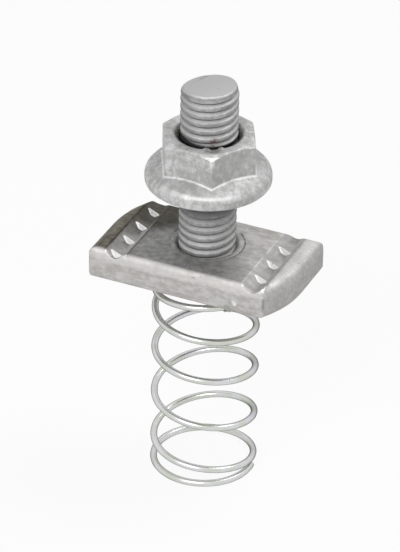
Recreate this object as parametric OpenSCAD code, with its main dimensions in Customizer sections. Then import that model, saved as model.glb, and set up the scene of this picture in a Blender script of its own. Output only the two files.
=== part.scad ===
// Channel nut with a stud: a toothed plate that turns into a slotted channel, a threaded stud fixed in it,
// a hexagon flange nut on the stud and a coil spring below that holds the plate up against the lips.
// Millimetres. The origin is the middle of the spring's foot on the surface that it stands on.
// +X runs along the plate, +Y along the channel away from the viewer, +Z up the stud.

/* [Plate] */
// Length of the plate, across the channel
plate_l = 36.2; // [30:0.1:48]
// Width of the plate, along the channel
plate_w = 20; // [17:0.1:30]
// Thickness of the plate
plate_t = 6.05; // [5:0.05:10]
// Radius of the front edge on top, rolled over by the shear
top_roll = 1.2; // [0.5:0.1:2.4]
// Radius of the back edge on top
back_roll = 2; // [0.5:0.1:2.4]
// Radius of the long edges below
bottom_roll = 0.9; // [0.2:0.1:1.5]
// Radius of the end edges on top
end_roll = 2.2; // [0.2:0.1:2.6]
// Radius of the end edges below
end_foot_roll = 1.6; // [0.2:0.1:2]
// Radius of the other two corners
corner_r = 1.5; // [0.3:0.1:3]

/* [Teeth] */
// Distance from the plate's end to the middle of a toothed groove
groove_inset = 5.35; // [4:0.05:6]
// Width of a groove at the top of the plate
groove_w = 4.1; // [3:0.1:5]
// Width of a groove at the foot of a tooth
groove_floor_w = 0.7; // [0.5:0.1:2]
// Depth of a groove at the foot of a tooth
tooth_depth = 1.15; // [0.8:0.05:2]
// Depth of a groove at the crest of a tooth
crest_depth = 0.35; // [0.1:0.05:0.6]
// Distance from tooth to tooth
tooth_pitch = 5.05; // [4:0.05:6]
// Teeth in the left groove
left_teeth = 4; // [2:1:5]
// Teeth in the right groove
right_teeth = 3; // [2:1:5]
// Angle of the teeth across the groove
tooth_skew = 28; // [0:1:40]
// How far a tooth's steep face leans out at its foot
tooth_lean = 0.35; // [0:0.05:0.8]
// Distance from the plate's back edge to the first tooth of the left groove
left_row_inset = 3.85; // [1:0.05:5]
// Distance from the plate's back edge to the first tooth of the right groove
right_row_inset = 5.65; // [1:0.05:6]

/* [Stud] */
// Diameter over the thread
stud_d = 9.95; // [8:0.05:12]
// Length of the stud above the plate
stud_reach = 31.05; // [27:0.05:80]
// How much smaller the stud is at its free end, on the radius
end_taper = 0.45; // [0.2:0.05:1]
// Length over which its free end tapers
end_taper_l = 1.6; // [0.5:0.1:3]
// Slope of the cropped end, in degrees
crop_slope = 10; // [0:0.5:12]
// Direction in which the cropped end falls, in degrees from +X
crop_turn = 160; // [0:5:355]
// Where the crop starts, from the middle of the stud back against its fall
crop_start = 1; // [0:0.1:3]
// Clearance of the stud in the plate's hole, on the radius
hole_clearance = 0.02; // [0.01:0.01:0.1]
// How far the hole stands behind the middle of the plate's width
hole_offset = 0.3; // [0:0.1:1]
// Width of the countersink round the plate's hole
hole_mouth = 0.5; // [0.2:0.1:1]
// Diameter of the ring that the press left round the hole
ring_d = 13; // [12:0.1:15]
// Width of that ring's line
ring_w = 0.3; // [0.1:0.05:0.6]
// Depth of that ring's line
ring_depth = 0.12; // [0.05:0.01:0.3]

/* [Nut] */
// Width of the hexagon across its flats
across_flats = 15.4; // [14:0.1:19]
// Height of the nut
nut_h = 9.4; // [8:0.1:14]
// Diameter of the flange
flange_d = 21.8; // [20:0.1:28]
// Height of the flange's rim
rim_h = 2.3; // [1.2:0.1:3]
// Height over which the rim's upper edge is eased into the slope
rim_ease = 0.8; // [0.2:0.1:1]
// Radius of the flange's lower edge
rim_roll = 0.5; // [0.2:0.1:0.8]
// Slope of the flange's upper face, in degrees
flange_slope = 26; // [10:1:35]
// Height of the small fillet where the hexagon meets the flange
hex_fillet = 0.6; // [0.2:0.1:1.2]
// Slope of the chamfer on the hexagon's top corners, in degrees
top_slope = 30; // [15:1:40]
// Width of the countersinks at both ends of the nut's thread
nut_mouth = 0.95; // [0.3:0.05:1.4]
// Running clearance of the nut on the stud, on the radius
thread_clearance = 0.05; // [0.01:0.01:0.1]
// Space between the plate and the nut's flange
clamp_gap = 12.4; // [2:0.1:14]
// Turn of the hexagon about the stud, in degrees
nut_turn = -2.7; // [-30:0.1:30]

/* [Spring] */
// Outside diameter of the coil
coil_od = 18.76; // [15:0.02:19.4]
// Diameter of the wire
wire_d = 1.2; // [0.8:0.05:1.6]
// Rise of the coil in one turn
coil_pitch = 8.86; // [5:0.02:12]
// Turns from the foot's tip to the lug that grips the head
lug_turns = 5.125; // [3.125:1:9.125]
// Direction of the foot's tip, in degrees from +X
foot_tip_turn = 7; // [-180:1:180]
// Flat part of the foot, in degrees round the coil
foot_flat = 230; // [200:5:300]
// Part of the coil in which the foot rises to its full pitch, in degrees
foot_ramp = 160; // [90:5:220]
// Part of the coil in which the head comes level, in degrees
head_ramp = 123; // [90:1:180]
// Part of the coil from the lug to the head's tip, in degrees
head_tail = 113; // [40:1:180]
// Rise of the coils towards their +X side, which falls by as much on the other side
coil_lean = 0.35; // [0:0.05:0.6]
// Rise and fall of the coils where the pitch is uneven
coil_wander = 0.42; // [0:0.02:0.6]
// Turns from one dip of the uneven pitch to the next
wander_turns = 2.74; // [2:0.02:4]
// Turn of the first dip, counted from the foot's tip
wander_dip = 1.72; // [1:0.02:3]
// Part of the coil in which lean and wander grow from the foot, in degrees
stray_ramp = 360; // [180:10:540]
// Sides of the wire's section
wire_sides = 10; // [8:2:16]
// Sections of the wire in one turn
turn_steps = 24; // [16:2:40]

/* [Lug] */
// Space between the spring's head and the plate
lug_gap = 1.23; // [0.3:0.01:2]
// Length of the lug along the wire
lug_l = 2.2; // [1:0.1:3]
// Wall of the lug round the wire
lug_wall = 0.6; // [0.4:0.05:1]
// Clearance of the wire in the lug, on the radius
lug_clearance = 0.2; // [0.15:0.01:0.4]

/* [Hidden] */
$fn = 96;
// Small overlap that keeps cuts clean
eps = 0.01;
// How far the shapes that cut the teeth stand above the plate
cut_rise = 1;
coil_r = (coil_od - wire_d) / 2;
// Rise of the coil in one degree
lead = coil_pitch / 360;
lug_turn = lug_turns * 360;
// Angle from which the full pitch, drawn back to the foot's level, would climb
climb_start = foot_flat + foot_ramp / 2;
// Angle at which the head starts to come level
head_start = lug_turn - head_ramp;
spring_head_z = wire_height(lug_turn);
plate_z = spring_head_z + wire_d / 2 + lug_gap;
plate_top = plate_z + plate_t;
nut_z = plate_top + clamp_gap;
stud_top = plate_top + stud_reach;
stud_r = stud_d / 2;
hole_r = stud_r + hole_clearance;
nut_bore_r = stud_r + thread_clearance;
groove_x = plate_l / 2 - groove_inset;
// Distance from tooth to tooth, measured square to the crests
tooth_run = tooth_pitch * cos(tooth_skew);
hex_corner_r = across_flats / 2 / cos(30);
lug_bore_r = wire_d / 2 + lug_clearance;
lug_r = lug_bore_r + lug_wall;

// Height of the wire's middle line at an angle round the coil from the foot's tip
function wire_height(a) = wire_d / 2 + lead * (
    a < foot_flat ? 0
    : a < foot_flat + foot_ramp ? pow(a - foot_flat, 2) / (2 * foot_ramp)
    : a < head_start ? a - climb_start
    : a - climb_start - pow(a - head_start, 2) / (2 * head_ramp));

// Soft step from 0 to 1
function ease(v) = let (u = min(max(v, 0), 1)) u * u * (3 - 2 * u);

// How far the wire strays from an even coil, up or down, at an angle from the foot's tip
function wire_stray(a) = ease((a - foot_flat) / stray_ramp) * ease((head_start - a) / head_ramp)
    * (coil_lean * cos(foot_tip_turn - a) - coil_wander * cos((a - 360 * wander_dip) / wander_turns));

// A bar's section that stands on the X axis, with its own radius on each edge
module rounded_section(w, h, r_left, r_right, r_bottom) {
    difference() {
        translate([-w / 2, 0]) square([w, h]);
        edge_waste(-w / 2, h, r_left, -1, 1);
        edge_waste(w / 2, h, r_right, 1, 1);
        for (side = [-1, 1]) edge_waste(side * w / 2, 0, r_bottom, side, -1);
    }
}

// What a rounded edge takes off a square corner at x, y
module edge_waste(x, y, r, side_x, side_y) {
    difference() {
        translate([x - side_x * r / 2 + side_x * eps, y - side_y * r / 2 + side_y * eps])
            square([r + 2 * eps, r + 2 * eps], center = true);
        translate([x - side_x * r, y - side_y * r]) circle(r = r);
    }
}

// One square corner of the plate: side 1 is at +X, +Y and side -1 at -X, -Y
module square_corner(side) {
    intersection() {
        translate([side > 0 ? 0 : -plate_l, side > 0 ? 0 : -plate_w, 0]) cube([plate_l, plate_w, plate_t]);
        linear_extrude(plate_t) difference() {
            square([plate_l, plate_w], center = true);
            edge_waste(side * plate_l / 2, side * plate_w / 2, corner_r, side, side);
        }
        long_bar();
        translate([0, plate_w / 2, 0])
            rotate([90, 0, 0]) linear_extrude(plate_w) end_section();
    }
}

// One corner that is rounded about the middle so that the plate can turn in the channel
module turning_corner(side) {
    intersection() {
        translate([side > 0 ? 0 : -plate_l, side > 0 ? -plate_w : 0, 0]) cube([plate_l, plate_w, plate_t]);
        long_bar();
        rotate_extrude() intersection() {
            end_section();
            square([plate_l, plate_t]);
        }
    }
}

// The plate's section along X, which gives its ends their edges
module end_section() {
    rounded_section(plate_l, plate_t, end_roll, end_roll, end_foot_roll);
}

// The rolled bar that the plate is cut from
module long_bar() {
    translate([-plate_l, 0, 0])
        rotate([90, 0, 90]) linear_extrude(2 * plate_l)
            rounded_section(plate_w, plate_t, top_roll, back_roll, bottom_roll);
}

// One toothed groove along Y at x, cut into the plate's top from edge to edge
module toothed_groove(x, first_y, teeth) {
    reach = plate_w;
    intersection() {
        translate([x, reach, 0]) rotate([90, 0, 0]) linear_extrude(2 * reach) groove_section();
        for (i = [0 : teeth - 1])
            translate([x, first_y - i * tooth_pitch, 0])
                rotate([0, 0, -tooth_skew])
                    translate([-plate_w, 0, 0])
                        rotate([90, 0, 90])
                            linear_extrude(2 * plate_w) {
                                tooth_section(i == teeth - 1);
                                if (i == 0) back_section();
                            }
    }
}

// Section of a groove across X, with its top edge on the plate's top
module groove_section() {
    flare = (groove_w - groove_floor_w) / 2 / tooth_depth;
    polygon([
        [-groove_w / 2 - flare * cut_rise, cut_rise],
        [-groove_floor_w / 2, -tooth_depth],
        [groove_floor_w / 2, -tooth_depth],
        [groove_w / 2 + flare * cut_rise, cut_rise]
    ]);
}

// Section of one tooth across its crest: a steep face and a floor that climbs to the next crest,
// or that runs out level through the plate's front edge
module tooth_section(runs_out) {
    run = runs_out ? 2 * plate_w : tooth_run + eps;
    polygon([
        [0, cut_rise],
        [0, -crest_depth],
        [-tooth_lean, -tooth_depth],
        [-run, runs_out ? -tooth_depth : -crest_depth],
        [-run, cut_rise]
    ]);
}

// Section of the floor behind the first tooth, which falls away through the plate's back edge
module back_section() {
    fall = (tooth_depth - crest_depth) / (tooth_run - tooth_lean);
    polygon([
        [-eps, cut_rise],
        [-eps, -crest_depth],
        [0, -crest_depth],
        [2 * plate_w, -crest_depth - 2 * plate_w * fall],
        [2 * plate_w, cut_rise]
    ]);
}

// The staked lug below the plate that grips the spring's head
module spring_lug() {
    drop = plate_z - spring_head_z;
    rotate([0, 0, foot_tip_turn - lug_turn])
        translate([coil_r, 0, spring_head_z])
            rotate([90, 0, 0])
                difference() {
                    union() {
                        cylinder(r = lug_r, h = lug_l, center = true);
                        translate([-lug_r, 0, -lug_l / 2]) cube([2 * lug_r, drop + eps, lug_l]);
                    }
                    cylinder(r = lug_bore_r, h = lug_l + 2 * eps, center = true);
                }
}

module toothed_plate() {
    color("darkgray") {
        difference() {
            translate([0, -hole_offset, plate_z])
                for (side = [-1, 1]) {
                    square_corner(side);
                    turning_corner(side);
                }
            translate([0, 0, plate_z - eps]) cylinder(r = hole_r, h = plate_t + 2 * eps);
            translate([0, 0, plate_top - hole_mouth])
                cylinder(r1 = hole_r, r2 = hole_r + hole_mouth + eps, h = hole_mouth + eps);
            translate([0, 0, plate_top - ring_depth])
                difference() {
                    cylinder(d = ring_d, h = ring_depth + eps);
                    translate([0, 0, -eps]) cylinder(d = ring_d - 2 * ring_w, h = ring_depth + 3 * eps);
                }
            translate([0, -hole_offset, plate_top]) {
                toothed_groove(-groove_x, plate_w / 2 - left_row_inset, left_teeth);
                toothed_groove(groove_x, plate_w / 2 - right_row_inset, right_teeth);
            }
        }
        spring_lug();
    }
}

module threaded_stud() {
    fall = 2 * stud_d;
    color("gray")
        difference() {
            union() {
                translate([0, 0, plate_z]) cylinder(r = stud_r, h = stud_top - end_taper_l - plate_z);
                translate([0, 0, stud_top - end_taper_l])
                    cylinder(r1 = stud_r, r2 = stud_r - end_taper, h = end_taper_l);
            }
            translate([0, 0, stud_top])
                rotate([0, 0, crop_turn])
                    translate([-crop_start, -fall / 2, 0])
                        rotate([0, crop_slope, 0]) cube([fall, fall, fall]);
        }
}

module flange_nut() {
    cone_top_r = across_flats / 2 - hex_fillet;
    cone_top_z = rim_h + (flange_d / 2 - cone_top_r) * tan(flange_slope);
    face_r = across_flats / 2 - (hex_corner_r - across_flats / 2) * tan(top_slope) / 4;
    color("silver")
        translate([0, 0, nut_z])
            difference() {
                union() {
                    rotate_extrude() difference() {
                        polygon([
                            [0, 0],
                            [flange_d / 2, 0],
                            [flange_d / 2, rim_h - rim_ease],
                            [flange_d / 2 - rim_ease / 4, rim_h - rim_ease / 3],
                            [flange_d / 2 - rim_ease, rim_h + rim_ease * tan(flange_slope)],
                            [cone_top_r, cone_top_z],
                            [0, cone_top_z]
                        ]);
                        edge_waste(flange_d / 2, 0, rim_roll, 1, -1);
                    }
                    intersection() {
                        translate([0, 0, rim_roll])
                            rotate([0, 0, nut_turn]) cylinder(r = hex_corner_r, h = nut_h, $fn = 6);
                        cylinder(r1 = face_r + nut_h / tan(top_slope), r2 = face_r, h = nut_h);
                    }
                }
                translate([0, 0, -eps]) cylinder(r = nut_bore_r, h = nut_h + 2 * eps);
                translate([0, 0, -eps])
                    cylinder(r1 = nut_bore_r + nut_mouth + eps, r2 = nut_bore_r, h = nut_mouth + eps);
                translate([0, 0, nut_h - nut_mouth])
                    cylinder(r1 = nut_bore_r, r2 = nut_bore_r + nut_mouth + eps, h = nut_mouth + eps);
            }
}

// The wire's sections stand across the coil, with their sides on the wire's true diameter
module coil_spring() {
    end_turn = lug_turn + head_tail;
    steps = ceil(end_turn / 360 * turn_steps);
    section_r = wire_d / 2 / cos(180 / wire_sides);
    points = [
        for (i = [0 : steps], j = [0 : wire_sides - 1])
            let (a = end_turn * i / steps, t = foot_tip_turn - a, s = (j + 0.5) * 360 / wire_sides - 90)
            let (r = coil_r + section_r * cos(s))
            [r * cos(t), r * sin(t), wire_height(a) + wire_stray(a) + section_r * sin(s)]
    ];
    sides = [
        for (i = [0 : steps - 1], j = [0 : wire_sides - 1])
            let (k = (j + 1) % wire_sides, a = i * wire_sides, b = a + wire_sides)
            [a + j, b + j, b + k, a + k]
    ];
    foot_cap = [for (j = [0 : wire_sides - 1]) j];
    head_cap = [for (j = [wire_sides - 1 : -1 : 0]) steps * wire_sides + j];
    color("gainsboro") polyhedron(points, concat(sides, [foot_cap, head_cap]));
}

toothed_plate();
threaded_stud();
flange_nut();
coil_spring();
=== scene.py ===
# %% [markdown]
# # A channel nut with its stud, flange nut and spring
# This fastener goes into a slotted steel channel. A toothed plate turns behind the channel's lips,
# a spring holds it up, and a flange nut on the stud clamps a bracket against it.
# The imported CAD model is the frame, and it fixes every size and place. The plate and the nut here start as
# copies of its nodes, and the stud and the spring repeat its measures, so no piece drifts away from it.

# %% Load the frame
import math

import bpy
from mathutils import Matrix, Vector


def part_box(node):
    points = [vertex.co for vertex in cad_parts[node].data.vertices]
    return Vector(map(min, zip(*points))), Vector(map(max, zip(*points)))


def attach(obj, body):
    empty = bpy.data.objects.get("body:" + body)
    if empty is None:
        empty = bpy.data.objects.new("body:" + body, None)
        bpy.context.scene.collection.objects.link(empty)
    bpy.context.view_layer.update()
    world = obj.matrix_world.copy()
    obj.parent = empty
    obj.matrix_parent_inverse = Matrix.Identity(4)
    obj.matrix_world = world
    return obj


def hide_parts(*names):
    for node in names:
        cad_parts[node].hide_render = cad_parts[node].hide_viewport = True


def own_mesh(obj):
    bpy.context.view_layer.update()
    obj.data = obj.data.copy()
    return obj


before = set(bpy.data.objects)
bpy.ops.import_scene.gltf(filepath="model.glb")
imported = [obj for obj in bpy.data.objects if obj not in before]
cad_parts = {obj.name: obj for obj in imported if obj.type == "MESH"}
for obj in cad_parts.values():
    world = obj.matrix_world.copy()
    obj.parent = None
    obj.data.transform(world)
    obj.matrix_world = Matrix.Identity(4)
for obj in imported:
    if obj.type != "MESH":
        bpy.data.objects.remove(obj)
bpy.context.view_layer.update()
MM = 0.001

# %% [markdown]
# ## Camera
# The photograph was taken with a long lens from the front right, a third of the way up.
# Its direction was worked out from the round flange, the plate's edges and the spring, so the camera is set
# by angles, a distance and a focal length in pixels instead of being moved about by eye.

# %% Camera
IMAGE_H = 552
SENSOR = 36
AZIMUTH, ELEVATION, ROLL = (math.radians(angle) for angle in (23.83, 31.97, 1.01))
DISTANCE = 747.3 * MM
FOCAL_PIXELS = 4343.75
AIM_HEIGHT, AIM_LEFT = 37.82, 1.13
back = Vector((
    math.sin(AZIMUTH) * math.cos(ELEVATION), -math.cos(AZIMUTH) * math.cos(ELEVATION), math.sin(ELEVATION)))
level_right = Vector((math.cos(AZIMUTH), math.sin(AZIMUTH), 0))
level_up = back.cross(level_right)
right = level_right * math.cos(ROLL) + level_up * math.sin(ROLL)
up = level_up * math.cos(ROLL) - level_right * math.sin(ROLL)
aim = Vector((0, 0, AIM_HEIGHT * MM)) - level_right * AIM_LEFT * MM
facing_part = Matrix((right, up, back)).transposed().to_4x4()
bpy.ops.object.camera_add()
camera = bpy.context.object
camera.name = "camera"
camera.matrix_world = Matrix.Translation(aim + back * DISTANCE) @ facing_part
camera.data.sensor_fit = "VERTICAL"
camera.data.sensor_height = SENSOR
camera.data.lens = FOCAL_PIXELS / IMAGE_H * SENSOR
camera.data.clip_start = 10 * MM
bpy.context.scene.camera = camera
print("lens in mm:", round(camera.data.lens, 1))

# %% [markdown]
# ## Helpers for modelling
# Operators act on whatever is selected, so every step starts by selecting one piece alone.
# Fine modelling is done at a thousand times the size, because some tools lose precision on very small
# meshes.

# %% Selecting and finishing
ORIGIN = (0, 0, 0)
MERGE = 0.001


def select_only(piece=None):
    """Leaves nothing selected but this piece, in object mode."""
    if bpy.context.mode != "OBJECT":
        bpy.ops.object.mode_set(mode="OBJECT")
    bpy.ops.object.select_all(action="DESELECT")
    if piece:
        piece.select_set(True)
        bpy.context.view_layer.objects.active = piece


def edit_all(piece):
    """Opens one piece in edit mode with its whole mesh selected."""
    select_only(piece)
    bpy.ops.object.mode_set(mode="EDIT")
    bpy.ops.mesh.select_all(action="SELECT")


def resize(piece, factor):
    """Scales a piece's mesh about the origin, so that the object itself stays unscaled."""
    edit_all(piece)
    bpy.ops.transform.resize(value=(factor, factor, factor), center_override=ORIGIN)
    bpy.ops.object.mode_set(mode="OBJECT")


def apply_modifier(piece, kind, **settings):
    """Adds one modifier to a piece and applies it."""
    select_only(piece)
    modifier = piece.modifiers.new(kind.lower(), kind)
    for key, value in settings.items():
        setattr(modifier, key, value)
    bpy.ops.object.modifier_apply(modifier=modifier.name)


def report(piece):
    """Prints a piece's size in mm and its count of triangles."""
    piece.data.calc_loop_triangles()
    size = [round(side / MM, 2) for side in piece.dimensions]
    print(piece.name, "size in mm:", size, "triangles:", len(piece.data.loop_triangles))


# %% [markdown]
# ## The stud's thread
# The stud is an M10 thread with a pitch of 1.5 mm, cropped from a long bar and dipped in zinc, which leaves
# broad crests and narrow, partly filled grooves. A thread could be drawn as a bump in the material, but its
# outline shows above the nut, so it is real geometry: one pitch of the section is drawn as a line of edges,
# and the Screw modifier winds it up the bar.

# %% Thread section
stud_low, stud_high = (Vector(corner_shade_and_highlight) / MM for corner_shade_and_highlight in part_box("threaded_stud"))
STUD_R = 4.955
ROOT_R = 4.4
SHOULDER_R, BEND_R, FILLET_R = STUD_R - 0.1, STUD_R - 0.03, ROOT_R + 0.07
PITCH = 1.5
THREAD_PHASE = 0.2
THREAD_SECTION = [
    (0.00, SHOULDER_R), (0.05, BEND_R), (0.15, STUD_R), (0.33, STUD_R), (0.43, BEND_R), (0.48, SHOULDER_R),
    (0.66, FILLET_R), (0.70, ROOT_R), (0.78, ROOT_R), (0.82, FILLET_R), (1.00, SHOULDER_R)]


def draw_line(name, points):
    """A chain of edges through the points, drawn by extruding one vertex from each to the next."""
    select_only()
    bpy.ops.mesh.primitive_plane_add(size=1)
    line = bpy.context.object
    line.name = name
    bpy.ops.object.mode_set(mode="EDIT")
    bpy.ops.mesh.merge(type="CENTER")
    bpy.ops.transform.translate(value=points[0])
    for here, there in zip(points, points[1:]):
        step = Vector(there) - Vector(here)
        bpy.ops.mesh.extrude_region_move(TRANSFORM_OT_translate={"value": step})
    bpy.ops.object.mode_set(mode="OBJECT")
    return line


thread_start = stud_low.z - 2 * PITCH + THREAD_PHASE
stud = draw_line("stud_thread", [(r, 0, thread_start + PITCH * share) for share, r in THREAD_SECTION])
print("points in the thread's section:", len(stud.data.vertices))

# %% Wind the thread
THREAD_STEPS = 72
thread_turns = math.ceil((stud_high.z - thread_start) / PITCH) + 2
apply_modifier(
    stud, "SCREW", axis="Z", angle=math.tau, screw_offset=PITCH, iterations=thread_turns,
    steps=THREAD_STEPS, render_steps=THREAD_STEPS, use_merge_vertices=False)
print("turns of thread:", thread_turns)

# %% [markdown]
# Cuts with Bisect give the stud's foot and its top, which falls away to one side where the shear bent it.
# The fall is a curve, so five planes that touch the curve cut it one after the other.

# %% Crop both ends
CROP_SLOPE, CROP_TURN, CROP_START, CROP_BEND = math.radians(10), math.radians(160), 1, 2
CROP_TOUCHES = -3, -1, 0.5, 2, 4
TOP_ROOM = 0.005
fall = Vector((math.cos(CROP_TURN), math.sin(CROP_TURN), 0))
stud_top = stud_high.z - TOP_ROOM


def crop_drop(along):
    """How far the sheared end lies below the stud's top, and its slope, at a distance along its fall."""
    root = math.hypot(along, CROP_BEND)
    steep = math.tan(CROP_SLOPE) / 2
    return steep * (root + along), math.atan(steep * (1 + along / root))


def crop_point(along):
    """The place and the normal of the plane that touches the sheared end there."""
    drop, slope = crop_drop(along)
    place = fall * (along - CROP_START) + Vector((0, 0, stud_top - drop))
    return place, fall * math.sin(slope) + Vector((0, 0, math.cos(slope)))


edit_all(stud)
bpy.ops.mesh.remove_doubles(threshold=MERGE)
bpy.ops.mesh.bisect(plane_co=(0, 0, stud_low.z), plane_no=(0, 0, 1), use_fill=True, clear_inner=True)
for along in CROP_TOUCHES:
    point, normal = crop_point(along)
    bpy.ops.mesh.select_all(action="SELECT")
    bpy.ops.mesh.bisect(plane_co=point, plane_no=normal, use_fill=True, clear_outer=True)
bpy.ops.object.mode_set(mode="OBJECT")
print("cuts across the free end:", len(CROP_TOUCHES))

# %% [markdown]
# The free end tapers so that a nut goes on easily, and zinc has rounded the rim of the sheared face. More
# loops are cut just below that face, and then each vertex that stands too far out is drawn in towards the
# axis.

# %% Taper and round the free end
END_TAPER, END_TAPER_L, RIM_ROUND = 0.45, 1.6, 0.4
RIM_LOOPS = 0.06, 0.14, 0.25, RIM_ROUND
STUD_MERGE, SLIVER = 0.004, 0.002
bpy.ops.object.mode_set(mode="EDIT")
for below in RIM_LOOPS:
    for along in CROP_TOUCHES[::2]:
        point, normal = crop_point(along)
        bpy.ops.mesh.select_all(action="SELECT")
        bpy.ops.mesh.bisect(plane_co=point - Vector((0, 0, below)), plane_no=normal)
bpy.ops.object.mode_set(mode="OBJECT")
for vertex in stud.data.vertices:
    reach = vertex.co.xy.length
    depth = max(0, stud_top - crop_drop(vertex.co.dot(fall) + CROP_START)[0] - vertex.co.z)
    allowed = STUD_R - END_TAPER * max(0, 1 - (stud_top - vertex.co.z) / END_TAPER_L)
    if depth < RIM_ROUND:
        allowed -= RIM_ROUND - math.sqrt(RIM_ROUND ** 2 - (RIM_ROUND - depth) ** 2)
    if reach > allowed:
        vertex.co.xy *= allowed / reach
edit_all(stud)
bpy.ops.mesh.remove_doubles(threshold=STUD_MERGE)
bpy.ops.mesh.dissolve_degenerate(threshold=SLIVER)
bpy.ops.mesh.normals_make_consistent(inside=False)
bpy.ops.object.mode_set(mode="OBJECT")
bpy.ops.object.shade_smooth_by_angle(angle=math.radians(40))
resize(stud, MM)
report(stud)

# %% [markdown]
# ## The zinc coat on the plate and the nut
# Hot zinc runs over every edge and leaves it soft. A Bevel modifier would have to follow the CAD mesh's long
# thin triangles, and it fails where the teeth cross the rolled edge. So each of these pieces is a copy of its
# CAD node, merged and rebuilt on a fine even grid with Remesh. A Displace modifier with a cloudy texture
# sinks the skin here and there by a few hundredths of a millimetre, because zinc never sets quite flat. It
# only sinks, so the piece stays within its CAD box. Smooth then rounds all the edges by the same small
# amount, like the coat itself.

# %% Coated copies
VOXEL = 0.15
LUMP_SIZE, LUMP_DEPTH = 1.9, 0.06
SMOOTH_PASSES = 2
FACES_KEPT = 0.6
lumps = bpy.data.textures.new("zinc_lumps", "CLOUDS")
lumps.noise_scale = LUMP_SIZE
lumps.noise_depth = 1


def coated_copy(node, name):
    """A copy of a CAD node, a thousand times as large, ready to be joined, remeshed and smoothed."""
    piece = bpy.data.objects.new(name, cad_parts[node].data.copy())
    bpy.context.collection.objects.link(piece)
    piece.data.materials.clear()
    resize(piece, 1 / MM)
    edit_all(piece)
    bpy.ops.mesh.remove_doubles(threshold=MERGE)
    bpy.ops.object.mode_set(mode="OBJECT")
    return piece


def coat(piece):
    """Rebuilds a piece on an even grid, dents its skin, rounds its edges and gives it its true size."""
    apply_modifier(piece, "REMESH", mode="VOXEL", voxel_size=VOXEL)
    apply_modifier(
        piece, "DISPLACE", texture=lumps, texture_coords="LOCAL", strength=LUMP_DEPTH, mid_level=1.0)
    apply_modifier(piece, "SMOOTH", factor=0.5, iterations=SMOOTH_PASSES)
    apply_modifier(piece, "DECIMATE", ratio=FACES_KEPT)
    bpy.ops.object.shade_smooth()
    resize(piece, MM)
    report(piece)


def pebble(place, half_sizes):
    """A stretched sphere with its place and size in its mesh."""
    select_only()
    bpy.ops.mesh.primitive_uv_sphere_add(segments=24, ring_count=16, radius=1, location=place)
    stone = bpy.context.object
    stone.scale = half_sizes
    bpy.ops.object.transform_apply(location=True, rotation=False, scale=True)
    return stone


def melt_on(piece, stone):
    """Joins a pebble to a piece. The remesh later melts the two together."""
    select_only(stone)
    piece.select_set(True)
    bpy.context.view_layer.objects.active = piece
    bpy.ops.object.join()


# %% [markdown]
# The nut has two blobs of zinc left on the edge of its mouth, at the front. Each is a small stretched sphere
# that is joined on before the remesh.

# %% Nut with the blobs in its mouth
nut = coated_copy("flange_nut", "coated_nut")
nut_foot, nut_top = (corner_shade_and_highlight.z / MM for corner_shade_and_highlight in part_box("flange_nut"))
BLOB_R, BLOB_SINK = 5.9, 0.12
BLOBS = (-70, (0.7, 0.5, 0.3)), (-46, (0.6, 0.5, 0.3))
for degrees, half_sizes in BLOBS:
    turn = math.radians(degrees)
    place = (BLOB_R * math.cos(turn), BLOB_R * math.sin(turn), nut_top - BLOB_SINK)
    melt_on(nut, pebble(place, half_sizes))
coat(nut)

# %% [markdown]
# The plate's lower front edge is staked: a punch left a shallow scoop in it and pushed a nib of metal down
# over the spring's wire. Booleans take away three spheres: the scoop, a notch beside the nib, and from below
# a larger one that rounds the underside of the lug. The nib is another sphere, joined on before the remesh.

# %% Plate with its staking
plate = coated_copy("toothed_plate", "coated_plate")
SCOOP = (9.75, -10.95, 41.1), (0.9, 0.85, 1.1)
NOTCH = (9.6, -10.2, 38.75), (0.6, 0.9, 0.5)
LUG_TRIM = (7.78, -7.34, 33.47), (3, 3, 3)
NIB_STONE = (8.4, -9.75, 39.25), (0.8, 0.68, 0.6)
for place, half_sizes in (SCOOP, NOTCH, LUG_TRIM):
    stone = pebble(place, half_sizes)
    apply_modifier(plate, "BOOLEAN", operation="DIFFERENCE", object=stone)
    bpy.data.objects.remove(stone)
melt_on(plate, pebble(*NIB_STONE))
coat(plate)

# %% [markdown]
# ## The spring
# The spring is one length of bright round wire, wound left-handed with both ends brought level. A curve with
# a round bevel follows the same path as the CAD wire: the height along the path is flat at the foot, eases
# into the full pitch and comes level again where the plate's lug grips it. In between, the coils lean a
# little and their pitch is uneven, as on any spring that has been in a box. The curve becomes a mesh.

# %% Wire path
WIRE_D, COIL_D = 1.2, 18.76
COIL_R = (COIL_D - WIRE_D) / 2
LEAD = 8.86 / 360
LUG_TURN = 5.125 * 360
FOOT_TIP = 7
FOOT_FLAT, FOOT_RAMP = 230, 160
HEAD_RAMP, HEAD_TAIL = 123, 113
HEAD_START = LUG_TURN - HEAD_RAMP
COIL_LEAN, COIL_WANDER = 0.35, 0.42
WANDER_TURNS, WANDER_DIP = 2.74, 1.72
STRAY_RAMP = 360
WIRE_STEPS = 900


def ease(value):
    """A soft step from 0 to 1."""
    value = min(max(value, 0), 1)
    return value * value * (3 - 2 * value)


def wire_stray(turned):
    """How far the wire lies above or below an even coil."""
    lean = COIL_LEAN * math.cos(math.radians(FOOT_TIP - turned))
    wander = COIL_WANDER * math.cos(math.radians(turned - 360 * WANDER_DIP) / WANDER_TURNS)
    free = ease((turned - FOOT_FLAT) / STRAY_RAMP) * ease((HEAD_START - turned) / HEAD_RAMP)
    return free * (lean - wander)


def wire_height(turned):
    """Height of the wire's middle line at an angle in degrees from the foot's tip."""
    if turned < FOOT_FLAT:
        climbed = 0
    elif turned < FOOT_FLAT + FOOT_RAMP:
        climbed = (turned - FOOT_FLAT) ** 2 / (2 * FOOT_RAMP)
    else:
        climbed = turned - FOOT_FLAT - FOOT_RAMP / 2
        if turned > HEAD_START:
            climbed -= (turned - HEAD_START) ** 2 / (2 * HEAD_RAMP)
    return WIRE_D / 2 + LEAD * climbed


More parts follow.
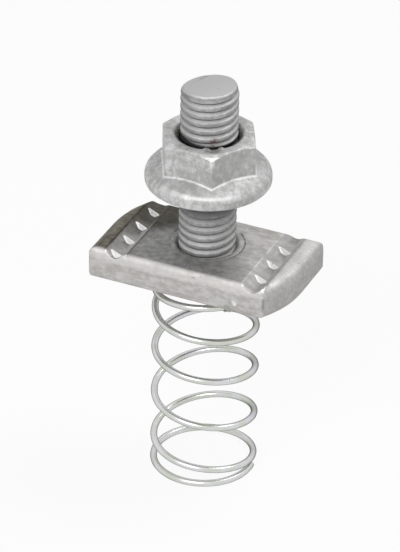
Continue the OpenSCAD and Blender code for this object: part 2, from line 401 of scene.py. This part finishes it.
wire_path = []
for i in range(WIRE_STEPS + 1):
    turned = (LUG_TURN + HEAD_TAIL) * i / WIRE_STEPS
    polar = math.radians(FOOT_TIP - turned)
    height = wire_height(turned) + wire_stray(turned)
    wire_path.append((COIL_R * math.cos(polar), COIL_R * math.sin(polar), height))
print("height of the spring's head in mm:", round(wire_height(LUG_TURN), 2))

# %% Wire
select_only()
bpy.ops.curve.primitive_nurbs_path_add()
spring = bpy.context.object
spring.name = "bright_spring"
spring.data.splines.clear()
spline = spring.data.splines.new("POLY")
spline.points.add(len(wire_path) - 1)
for point, place in zip(spline.points, wire_path):
    point.co = (*place, 1)
spring.data.twist_mode = "Z_UP"
spring.data.bevel_depth = WIRE_D / 2
spring.data.bevel_resolution = 6
spring.data.use_fill_caps = True
bpy.ops.object.convert(target="MESH")
spring = bpy.context.object
edit_all(spring)
bpy.ops.mesh.remove_doubles(threshold=MERGE)
bpy.ops.mesh.normals_make_consistent(inside=False)
bpy.ops.object.mode_set(mode="OBJECT")
bpy.ops.object.shade_smooth_by_angle(angle=math.radians(50))
resize(spring, MM)
report(spring)

# %% [markdown]
# ## Writing shader maths as Python
# A material is a network of nodes. Wrapping one output socket in a small class lets the maths be written as
# plain expressions, and one method adds any other node, so that each finish below reads as a recipe.

# %% Shader values
class Value:
    """A number, colour or vector that varies over a surface: one output socket of a material."""

    def __init__(self, tree, socket=None):
        self.tree = tree
        self.socket = socket

    def node(self, kind, settings=None, inputs=None, output=None):
        """Adds a node with its settings and the values or links of its sockets, and returns one output."""
        made = self.tree.nodes.new(kind)
        for key, value in (settings or {}).items():
            setattr(made, key, value)
        for key, value in (inputs or {}).items():
            socket = made.inputs[key] if isinstance(key, int) else next(
                s for s in made.inputs if s.enabled and s.name == key)
            if isinstance(value, Value):
                self.tree.links.new(value.socket, socket)
            else:
                socket.default_value = value
        found = [s for s in made.outputs if s.enabled and output in (None, s.name)]
        return Value(self.tree, found[0] if found else None)

    def math(self, operation, first, second):
        """One Math node on two numbers."""
        return self.node("ShaderNodeMath", {"operation": operation}, {0: first, 1: second})

    def __add__(self, other):
        return self.math("ADD", self, other)

    def __radd__(self, other):
        return self.math("ADD", other, self)

    def __sub__(self, other):
        return self.math("SUBTRACT", self, other)

    def __rsub__(self, other):
        return self.math("SUBTRACT", other, self)

    def __mul__(self, other):
        return self.math("MULTIPLY", self, other)

    def __rmul__(self, other):
        return self.math("MULTIPLY", other, self)

    def higher(self, other):
        """The larger of two numbers."""
        return self.math("MAXIMUM", self, other)

    def size(self):
        """This number without its sign."""
        return self.node("ShaderNodeMath", {"operation": "ABSOLUTE"}, {0: self})

    def between(self, low, high):
        """0 below low, 1 above high and a soft step in between."""
        return self.node(
            "ShaderNodeMapRange", {"interpolation_type": "SMOOTHSTEP"},
            {"Value": self, "From Min": low, "From Max": high})

    def fade(self, low, high):
        """1 below low, 0 above high and a soft step in between."""
        return 1 - self.between(low, high)

    def at(self, middle, inner, outer):
        """1 where this number is close to the middle, 0 further away."""
        return (self - middle).size().fade(inner, outer)

    def pick(self, low, high):
        """A colour that goes from low to high as this value goes from 0 to 1."""
        return self.node(
            "ShaderNodeMix", {"data_type": "RGBA"}, {"Factor": self, "A": low, "B": high}, "Result")

    def vector(self, operation, other, output):
        """One Vector Math node on this place or direction."""
        inputs = {0: self} if other is None else {0: self, 1: other}
        return self.node("ShaderNodeVectorMath", {"operation": operation}, inputs, output)

    def axis(self, name):
        """One coordinate of this place or direction."""
        return self.node("ShaderNodeSeparateXYZ", None, {"Vector": self}, name)

    def dot(self, direction):
        """How far this place or direction reaches along another."""
        return self.vector("DOT_PRODUCT", direction, "Value")

    def stretched(self, x, y, z):
        """This place with its axes scaled, so that a pattern runs long in one direction."""
        return self.vector("MULTIPLY", (x, y, z), "Vector")

    def reach(self):
        """Distance of this place from the stud's axis."""
        return self.stretched(1, 1, 0).vector("LENGTH", None, "Value")

    def near(self, spot, inner, outer):
        """1 round a spot, 0 further away."""
        return self.vector("DISTANCE", spot, "Value").fade(inner, outer)

    def noise(self, scale, detail=3, roughness=0.6):
        """Cloudy noise at this place, with scale in bumps per mm."""
        return self.node(
            "ShaderNodeTexNoise", None,
            {"Vector": self, "Scale": scale, "Detail": detail, "Roughness": roughness}, "Fac")


# %% [markdown]
# A finish starts from an empty material and the place on the piece, in millimetres. The direction that a
# surface faces comes from the piece too, so a pattern stays on its piece wherever that moves.

# %% Starting and ending a finish
def grey(level, warm=0.0):
    """An opaque grey, a little warm or, below zero, a little cool."""
    return (level * (1 + warm), level, level * (1 - warm), 1)


def empty_nodes(owner):
    """Clears the nodes of a material or the world, and returns a value to start from."""
    owner.use_nodes = True
    owner.node_tree.nodes.clear()
    return Value(owner.node_tree)


def new_finish(name):
    """An empty material, and the place on the piece in mm."""
    material = bpy.data.materials.new(name)
    place = empty_nodes(material).node("ShaderNodeTexCoord", None, None, "Object")
    place = place.node("ShaderNodeVectorMath", {"operation": "SCALE"}, {0: place, "Scale": 1 / MM})
    return material, place


def surface_normal(place):
    """The direction that the surface faces."""
    return place.node("ShaderNodeTexCoord", None, None, "Normal")


def facing(place, axis):
    """How far a face looks along one axis, from -1 to 1."""
    return surface_normal(place).axis(axis)


def finish(material, shader):
    """Links a shader to the material's output."""
    shader.node("ShaderNodeOutputMaterial", None, {"Surface": shader})
    print("finish:", material.name, "nodes:", len(material.node_tree.nodes))
    return material


# %% [markdown]
# ## Galvanised steel
# The plate, the stud and the nut are hot-dip galvanised: dull grey zinc with cloudy patches a few millimetres
# wide, fine crystals inside them, small dark pits and a grainy skin. The three pieces share one recipe and
# differ in tone. Cycles gives each point's pointiness, which is one half on flat metal, more on an edge and
# less in an inner corner. With it, edges are brightened partly as wear and partly as a painted highlight.
# Inner corners get painted shade, or on the nut a painted highlight.

# %% Galvanised finish
RUBBED_EDGE_HIGHLIGHT = grey(0.75)
PIT = grey(0.12, 0.05)


def galvanised(name, dark, pale, corner_shade_and_highlight, edge_wear_and_highlight=0.0, run=(1, 1, 1), marks=()):
    """Dull mottled zinc. The corner colour is painted shade or a painted highlight in its inner corners, the
    edge amount brightens its edges as wear and painted highlight, run draws the patches out, and marks
    recolour it."""
    material, place = new_finish(name)
    clouds = place.noise(0.3, 4).between(0.32, 0.7)
    patches = place.stretched(*run).noise(1.3, 4, 0.65).between(0.3, 0.72)
    grain = place.noise(5).between(0.25, 0.75)
    crystals = place.node(
        "ShaderNodeTexVoronoi", {"feature": "F1"}, {"Vector": place, "Scale": 0.9, "Randomness": 1.0},
        "Color")
    crystal = crystals.node("ShaderNodeSeparateColor", None, {"Color": crystals}, "Red")
    tone = (clouds * 0.3 + patches * 0.45 + grain * 0.12 + crystal * 0.13).between(0.2, 0.8)
    colour = tone.pick(dark, pale)
    bend = place.node("ShaderNodeNewGeometry", None, None, "Pointiness")
    # Edges brighten partly as wear and partly as a painted highlight; inner corners take painted shade, or a
    # painted highlight where their colour is pale.
    colour = (bend.between(0.535, 0.58) * edge_wear_and_highlight).pick(colour, RUBBED_EDGE_HIGHLIGHT)
    colour = (bend.fade(0.44, 0.488) * 0.75).pick(colour, corner_shade_and_highlight)
    for mark in marks:
        colour = mark(place, colour)
    pits = place.noise(1.7).between(0.66, 0.72)
    colour = (pits * 0.5).pick(colour, PIT)
    skin = grain * 0.35 + patches * 0.8 + place.noise(2.4) * 0.7 - pits
    bump = skin.node(
        "ShaderNodeBump", None, {"Height": skin, "Strength": 0.35, "Distance": 0.00005}, "Normal")
    shader = tone.node("ShaderNodeBsdfPrincipled", None, {
        "Base Color": colour, "Roughness": 0.62 - tone * 0.18, "Metallic": 0.45, "Normal": bump,
        "Specular Tint": grey(0.5), "Specular IOR Level": 0.25})
    return finish(material, shader)


# %% [markdown]
# The nut is the palest of the three. Its flange is painted darker than the hexagon, as shade, and one face
# has an olive stain that is partly painted shade. The mouth of its thread is brown with dirt and painted
# black as shade below. These marks are masks made from the place and from the direction of the surface,
# because painting them by hand would need a texture image.

# %% Dull faces and dirt of the nut
MOUTH_R = 5.9
PATCH = (2.9, -5.1, 66.5)
FLATS = [(math.cos(math.radians(turn)), math.sin(math.radians(turn)), 0) for turn in (27.3, 87.3, 147.3)]
OLIVE_FACE = [-side for side in FLATS[2]]
OLIVE_STAIN_AND_SHADE = (0.33, 0.335, 0.305, 1)
DARK_BROWN, PALE_BROWN, PATCH_BROWN = (0.13, 0.12, 0.105, 1), (0.36, 0.34, 0.31, 1), (0.25, 0.24, 0.225, 1)
SHADE_BLACK = grey(0.02)


def flange_and_face_shade(place, colour):
    """The flange painted darker as shade, and one face with an olive stain that is partly painted shade."""
    # The flange is painted darker as shade; one face gets an olive stain that is partly painted shade.
    flange_shade = facing(place, "Z").between(0.7, 0.8) * place.axis("Z").fade(nut_foot + 5, nut_foot + 6)
    colour = (flange_shade * 0.35).pick(colour, grey(0.34))
    olive_stain_and_shade = surface_normal(place).dot(OLIVE_FACE).between(0.9, 0.98) * place.noise(0.6).between(0.25, 0.6)
    return (olive_stain_and_shade * 0.5).pick(colour, OLIVE_STAIN_AND_SHADE)


def mouth_dirt_and_shade(place, colour):
    """Dirt in the mouth of the nut's thread, painted black as shade deeper in, and a brown patch on its front
    edge.
    """
    ragged = (place.noise(1.2) - 0.5) * 1.2
    inside = (place.reach() + ragged).fade(MOUTH_R - 0.4, MOUTH_R)
    brown = place.noise(1.6).between(0.4, 0.65).pick(DARK_BROWN, PALE_BROWN)
    # Deeper in the mouth the colour turns black as painted shade.
    brown = place.axis("Z").between(nut_top - 1.3, nut_top - 0.5).pick(SHADE_BLACK, brown)
    patch = place.near(PATCH, 1.2, 1.9) * (0.45 + place.noise(1.1).between(0.4, 0.6) * 0.5)
    colour = patch.pick(colour, PATCH_BROWN)
    return inside.pick(colour, brown)


print("top of the nut in mm:", round(nut_top, 2))

# %% [markdown]
# Painted highlights brighten the inner corner where the nut's hexagon meets the flange, the flange's upper
# edge at the front and the small chamfers at its corners. The distance from the hexagon's sides finds the
# inner corner, and the distance from the axis finds the rest.

# %% Nut finish
HEX_HALF = 7.7
RIM_LINE_R = 10.45
RIM_HIGHLIGHT_SPOT = (4.6, -9.4, 59)
CHAMFER_R = 8.05
CORNER_R = 8.5
FRONT_CORNER = (4.05, -7.85, 65.5)


def hexagon(place):
    """Half the width across flats of the hexagon through this place."""
    first, second, third = (place.dot(flat).size() for flat in FLATS)
    return first.higher(second).higher(third)


def painted_highlights(place, colour):
    """Painted highlights at the hexagon's foot, on the flange's upper edge and on the chamfers of the
    corners.
    """
    reach, height, slope = place.reach(), place.axis("Z"), facing(place, "Z")
    # Every mask here is a painted highlight: the hexagon's foot, the flange's rim at the front, the corner
    # chamfers and the front tip.
    broken = place.noise(0.7).between(0.3, 0.55)
    foot = hexagon(place).fade(HEX_HALF + 0.12, HEX_HALF + 0.42) * slope.between(0.2, 0.5)
    foot = foot * height.fade(nut_top - 3, nut_top - 2) * (0.25 + broken * 0.4)
    line = reach.at(RIM_LINE_R, 0.05, 0.3) * slope.between(0.1, 0.4)
    line = line * place.near(RIM_HIGHLIGHT_SPOT, 3.2, 6) * (0.35 + broken * 0.3)
    front = place.near(FRONT_CORNER, 1.2, 2.2)
    corners = reach.between(CHAMFER_R, CHAMFER_R + 0.15) * height.between(nut_top - 1.6, nut_top - 1.2)
    corners = corners * slope.between(0.3, 0.5) * slope.fade(0.93, 0.98) * (0.2 + front * 0.7)
    tip = reach.between(CORNER_R, CORNER_R + 0.25) * height.between(nut_top - 2.3, nut_top - 1.3) * front
    return (foot + line + corners + tip * 0.7).pick(colour, grey(0.88))


# The nut's pale corner colour is a painted highlight in its inner corners.
nut_zinc = galvanised(
    "nut_zinc", grey(0.44, 0.01), grey(0.66), grey(0.8), edge_wear_and_highlight=0.15, run=(1, 1, 0.7),
    marks=(flange_and_face_shade, painted_highlights, mouth_dirt_and_shade))

# %% [markdown]
# Painted shade darkens the stud's grooves on the side that faces down, and a painted highlight brightens the
# side that faces up. Painted shade also darkens the left and right of the thread, a painted shadow darkens
# the stretch below the flange and the gap inside the nut's mouth is painted black as shade, but the sheared
# end is clean metal. A few specks of red rust show on the thread where it comes out of the nut.

# %% Stud finish
STUD_SIDE = (0.915, 0.404, 0)
RUST_SPOT = (2.77, -4.1, 67.1)
RUST = (0.17, 0.085, 0.075, 1)


def thread_shade_and_highlight(place, colour):
    """Painted shade in the stud's grooves, on its left and right, below the flange and in the nut's mouth,
    and a painted highlight on the flanks that face up.
    """
    reach, height, slope = place.reach(), place.axis("Z"), facing(place, "Z")
    # A painted highlight on the flanks that face up.
    flank_highlight = reach.fade(SHOULDER_R, STUD_R - 0.02) * slope.between(0.4, 0.7) * slope.fade(0.88, 0.94)
    colour = (flank_highlight * 0.6).pick(colour, grey(0.7))
    # Painted shade on the downward side of the grooves.
    root_shade = reach.fade(ROOT_R, ROOT_R + 0.4) * slope.fade(0.1, 0.5)
    colour = (root_shade * 0.85).pick(colour, grey(0.14, 0.03))
    # Painted shade on the thread's left and right.
    side = surface_normal(place).dot(STUD_SIDE)
    side_shade = (side * -1).between(0.3, 0.95) * 0.45 + side.between(0.3, 0.95) * 0.28
    colour = side_shade.pick(colour, grey(0.15))
    colour = slope.between(0.93, 0.96).pick(colour, grey(0.49))
    # A painted shadow below the flange.
    flange_shadow = height.between(nut_foot - 6.5, nut_foot - 4) * height.fade(nut_foot, nut_foot + 1)
    colour = (flange_shadow * 0.66).pick(colour, grey(0.12))
    # Painted shade, black, in the gap inside the nut's mouth.
    mouth_shade = height.between(nut_top - 2, nut_top - 1) * height.fade(nut_top - 0.3, nut_top + 0.1)
    return mouth_shade.pick(colour, SHADE_BLACK)


def rust_specks(place, colour):
    """Red rust round one place on the thread."""
    specks = place.near(RUST_SPOT, 0.5, 1.2) * place.noise(2.6).between(0.45, 0.52)
    return (specks * 0.8).pick(colour, RUST)


# The stud's dark corner colour is painted shade in its inner corners.
stud_zinc = galvanised("stud_zinc", grey(0.32), grey(0.45), grey(0.25), marks=(thread_shade_and_highlight, rust_specks))

# %% [markdown]
# The top of the plate has a dark patina that is olive brown at its left end, grey in the middle and worn away
# towards the right and along the front. In the middle and on the left it is partly a painted shadow of the
# nut.
# It thins out among the front teeth. A stamped ring round the stud shows as a thin broken line.

# %% Patina and ring of the plate
TOP_FACES = 0.6, 0.78
GROOVE_X, GROOVE_HALF = 12.75, 2.1
RING_R = 6.5
OLIVE, PALE_OLIVE, WORN_OLIVE = (0.035, 0.032, 0.025, 1), (0.08, 0.073, 0.056, 1), (0.2, 0.185, 0.148, 1)


def in_groove(place):
    """1 inside the two toothed grooves."""
    return place.axis("X").size().at(GROOVE_X, GROOVE_HALF - 0.2, GROOVE_HALF)


def patina_and_shadow(place, colour):
    """Dark oxide on the upper faces, partly a painted shadow of the nut, fading to the right, and to the
    front in the grooves.
    """
    x, y = place.axis("X"), place.axis("Y")
    ragged = (place.noise(0.35, 4) - 0.5) * 9
    across = x + y * x.between(-13, -6) * 0.9 + ragged
    # In the middle and on the left this dark cover is partly a painted shadow of the nut.
    cover = across.fade(-2, 8) * facing(place, "Z").between(*TOP_FACES)
    cover = cover * (y + ragged * 0.04).between(-9.85, -9.0)
    cover = cover * (1 - in_groove(place) * y.fade(-7, 4) * 0.82)
    shades = place.noise(0.9, 4, 0.65).between(0.3, 0.7)
    middle = shades.pick(grey(0.215, 0.01), grey(0.37, 0.01))
    outer = x.between(-15.2, -14.7).pick(shades.pick(PALE_OLIVE, WORN_OLIVE), shades.pick(OLIVE, PALE_OLIVE))
    inward = x - y.between(-4, 7) * 9 + ragged * 0.3
    dark = inward.between(-15, -9).pick(outer, middle)
    return (cover * 0.95).pick(colour, dark)


def stamped_ring(place, colour):
    """A thin dark line round the stud."""
    line = place.reach().at(RING_R, 0.05, 0.2) * place.noise(0.5, 2, 0.5).between(0.4, 0.55)
    line = line * place.axis("Y").between(-4.5, -2.5) * facing(place, "Z").between(*TOP_FACES)
    return (line * 0.75).pick(colour, grey(0.09))


print("toothed grooves in mm from the middle:", GROOVE_X)

# %% [markdown]
# A painted highlight runs pale along the top of the front face. The sheared right end is painted darker as
# shade below its pale top, and a short line of painted shade marks the crease down its front corner. Where
# the punch struck, a painted highlight and a painted glint brighten the metal, and the nib beside it is dull.

# %% Front face, right end and staking of the plate
HIGHLIGHT_RISE = 42.2, 43.2
LIP_X = 14.75
CREASE = (14.98, -10.25, 0)
CREASE_FOOT, CREASE_TOP = (40.4, 41.2), (42.8, 43.3)
STRUCK_HIGHLIGHT, STRUCK_HIGHLIGHT_TAIL = (9.72, -10.2, 40.6), (9.4, -10.2, 40.9)
GLINT = (9.75, -10.2, 41.3)
NIB = (8.4, -10.2, 39.4)
NIB_GREEN = (0.27, 0.28, 0.25, 1)


def front_highlight_and_end_shade(place, colour):
    """A painted highlight along the top of the front face, and the right end with its pale top, painted shade
    and painted shade in its crease.
    """
    broken = place.stretched(0.4, 1, 1).noise(0.8).between(0.3, 0.6)
    # A painted highlight along the top of the front face.
    run = place.axis("Z").between(*HIGHLIGHT_RISE) * place.axis("Y").fade(-9.7, -9.2)
    colour = (run * (0.3 + broken * 0.4)).pick(colour, grey(0.72, 0.025))
    land = place.axis("X").between(LIP_X + 0.2, LIP_X + 0.7) * facing(place, "Z").between(*TOP_FACES)
    colour = (land * 0.4).pick(colour, grey(0.68))
    # Painted shade on the right end face.
    end_shade = facing(place, "X").between(0.45, 0.8)
    colour = (end_shade * 0.5).pick(colour, grey(0.36, 0.02))
    # Painted shade in the crease down the front corner.
    crease_shade = place.stretched(1, 1, 0).near(CREASE, 0.08, 0.32)
    crease_shade = crease_shade * place.axis("Z").between(*CREASE_FOOT) * place.axis("Z").fade(*CREASE_TOP)
    return (crease_shade * 0.55).pick(colour, grey(0.15))


def staking_highlights(place, colour):
    """A painted highlight and glint where the punch struck, and the dull nib beside it."""
    colour = (place.near(NIB, 0.5, 0.9) * 0.55).pick(colour, NIB_GREEN)
    # A painted glint and a painted highlight where the punch struck.
    colour = (place.near(GLINT, 0.1, 0.9) * 0.4).pick(colour, grey(0.8))
    struck_highlight = place.near(STRUCK_HIGHLIGHT, 0.05, 0.55).higher(place.near(STRUCK_HIGHLIGHT_TAIL, 0.02, 0.45) * 0.85)
    return (struck_highlight * 0.85).pick(colour, grey(0.88))


print("struck spot in mm:", STRUCK_HIGHLIGHT)

# %% [markdown]
# The steep faces of the teeth are bare zinc brightened by a painted highlight, a little less so at the back
# on the left. Painted shade lies at the feet of the teeth, along the right groove's outer lip and along the
# edges of the left groove, and a painted highlight runs along the right groove's inner lip.

# %% Plate finish
GROOVE_FLOOR = 43.65, 44.0
NEAR_TOP = 43.9, 44.2
INNER_LIP_X = 10.6


def groove_tone_and_shade(place, colour):
    """Dull zinc in the grooves, and painted shade at the feet of the teeth and along the grooves' edges."""
    x, y, z = (place.axis(name) for name in "XYZ")
    inside, upper, top = in_groove(place), facing(place, "Z").between(*TOP_FACES), z.between(*NEAR_TOP)
    right_side, broken = x.between(-1, 1), place.noise(0.6).between(0.35, 0.65)
    colour = (inside * right_side * upper * 0.3).pick(colour, grey(0.3))
    # Painted shade at the feet of the teeth.
    foot_shade = inside * upper * z.fade(*GROOVE_FLOOR) * (1 - right_side * y.fade(-7.5, -5.5))
    colour = (foot_shade * (0.55 - right_side * 0.15)).pick(colour, grey(0.13, 0.02))
    # Painted shade along the right groove's outer lip.
    lip_shade = x.at(LIP_X, 0.05, 0.4) * top
    colour = (lip_shade * (0.2 + broken * 0.4)).pick(colour, grey(0.2))
    wall = (1 - right_side) * (facing(place, "X") * -1).between(0.3, 0.5)
    colour = (inside * wall * y.fade(-3, 5) * 0.6).pick(colour, grey(0.5))
    # Painted shade along the edges of the left groove.
    edge_shade = (x + GROOVE_X).size().at(GROOVE_HALF - 0.05, 0.08, 0.36) * top * y.between(-9.8, -9.2)
    return (edge_shade * (0.4 + broken * 0.4)).pick(colour, OLIVE)


def teeth_highlights(place, colour):
    """A painted highlight on the inner lip on the right, and bare zinc with a painted highlight on the steep
    faces of the teeth.
    """
    x, y, z = (place.axis(name) for name in "XYZ")
    broken = place.noise(0.6).between(0.35, 0.65)
    # A painted highlight along the right groove's inner lip.
    inner_lip_highlight = x.at(INNER_LIP_X, 0.03, 0.25) * z.between(*NEAR_TOP)
    colour = (inner_lip_highlight * broken * 0.5).pick(colour, grey(0.8))
    # Bare zinc on the steep faces of the teeth, brightened further as a painted highlight.
    steep = (facing(place, "Y") * -1).between(0.1, 0.4) * facing(place, "Z").between(0.15, 0.3)
    steep = steep * y.between(-10.0, -9.8) * (1 - y.between(3, 8) * x.fade(-1, 1) * 0.45)
    return (in_groove(place) * steep).pick(colour, grey(0.95))


# The plate's dark corner colour is painted shade in the creases of its teeth.
plate_zinc = galvanised(
    "plate_zinc", grey(0.43, 0.035), grey(0.58, 0.025), grey(0.2), edge_wear_and_highlight=0.4, run=(0.4, 1, 1),
    marks=(front_highlight_and_end_shade, patina_and_shadow, stamped_ring, groove_tone_and_shade, teeth_highlights, staking_highlights))

# %% [markdown]
# ## Bright wire
# The spring's wire is electroplated with thin bright zinc. It mirrors the room in long streaks and has a
# faint yellow and blue bloom where the plating is thicker.

# %% Bright wire finish
YELLOW_BLOOM, BLUE_BLOOM = (0.60, 0.62, 0.56, 1), (0.68, 0.68, 0.70, 1)
wire_finish, place = new_finish("bright_wire")
bloom = place.noise(0.25, 2, 0.5).between(0.35, 0.65)
scuff = place.noise(3)
colour = bloom.pick(YELLOW_BLOOM, BLUE_BLOOM)
bump = scuff.node(
    "ShaderNodeBump", None, {"Height": scuff, "Strength": 0.04, "Distance": 0.00002}, "Normal")
shader = scuff.node("ShaderNodeBsdfPrincipled", None, {
    "Base Color": colour, "Roughness": 0.2 + scuff * 0.08, "Metallic": 1.0, "Normal": bump,
    "Specular Tint": grey(0.1)})
finish(wire_finish, shader)

# %% [markdown]
# ## Dressing the frame
# Each piece takes the place of its CAD node and rides on that node's body. The spring gets a mesh of its own.

# %% Dress the frame
spring_head = wire_height(LUG_TURN)
for piece, body, node, slot, material in (
        (plate, "stud_plate", "toothed_plate", "galvanised_plate", plate_zinc),
        (stud, "stud_plate", "threaded_stud", "galvanised_stud", stud_zinc),
        (nut, "nut", "flange_nut", "galvanised_nut", nut_zinc),
        (spring, "spring", "coil_spring", "bright_wire", wire_finish)):
    piece.data.materials.clear()
    piece.data.materials.append(material)
    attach(piece, body)
    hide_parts(node)
    print(piece.name, "rides on", body)
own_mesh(spring)

# %% [markdown]
# ## Floor and light
# The photograph has a clean white background. The floor is white and takes the soft shadow of the part, and
# the camera and mirrored rays see it lifted almost to pure white. Two soft lamps and an even sky light the
# metal.

# %% Floor
FLOOR_R = 1.5
FLOOR_LIFT = 0.88


def seen_rays(start):
    """1 for rays from the camera, off a mirror or through glass, and 0 for the light that falls on things."""
    camera_rays = start.node("ShaderNodeLightPath", None, None, "Is Camera Ray")
    outputs = camera_rays.socket.node.outputs
    mirror_rays = Value(start.tree, outputs["Is Glossy Ray"])
    clear_rays = Value(start.tree, outputs["Is Transmission Ray"])
    return camera_rays + mirror_rays + clear_rays


select_only()
bpy.ops.mesh.primitive_circle_add(vertices=64, radius=FLOOR_R, fill_type="NGON")
floor = bpy.context.object
floor.name = "floor"
floor_finish = bpy.data.materials.new("white_floor")
start = empty_nodes(floor_finish)
paint = start.node("ShaderNodeBsdfDiffuse", None, {"Color": grey(0.9)})
glow = start.node("ShaderNodeEmission", None, {"Color": grey(1.0), "Strength": 1.0})
seen = seen_rays(start) * FLOOR_LIFT
finish(floor_finish, seen.node("ShaderNodeMixShader", None, {0: seen, 1: paint, 2: glow}))
floor.data.materials.append(floor_finish)

# %% Sky
SKY_STRENGTH = 0.5
world = bpy.data.worlds.new("sky")
bpy.context.scene.world = world
start = empty_nodes(world)
seen = seen_rays(start)
sky = start.node("ShaderNodeBackground", None, {"Color": grey(1.0), "Strength": SKY_STRENGTH})
white = start.node("ShaderNodeBackground", None, {"Color": grey(1.0), "Strength": 1.0})
both = seen.node("ShaderNodeMixShader", None, {0: seen, 1: sky, 2: white})
both.node("ShaderNodeOutputWorld", None, {"Surface": both})
print("strength of the sky:", SKY_STRENGTH)

# %% Lamps
PART_MIDDLE = Vector((0, 0, 0.045))


def soft_lamp(name, place, size, watts):
    """A square area lamp that faces the middle of the part."""
    place = Vector(place)
    turn = (place - PART_MIDDLE).to_track_quat("Z", "Y")
    bpy.ops.object.light_add(type="AREA", location=place, rotation=turn.to_euler())
    lamp = bpy.context.object
    lamp.name = name
    lamp.data.size = size
    lamp.data.energy = watts
    print("lamp:", name, "watts:", watts)


soft_lamp("key", (0.22, 0.2, 0.62), 0.3, 1.15)
soft_lamp("front", (0.0, -0.5, 0.46), 0.35, 1.5)
bpy.context.scene.view_settings.view_transform = "Standard"
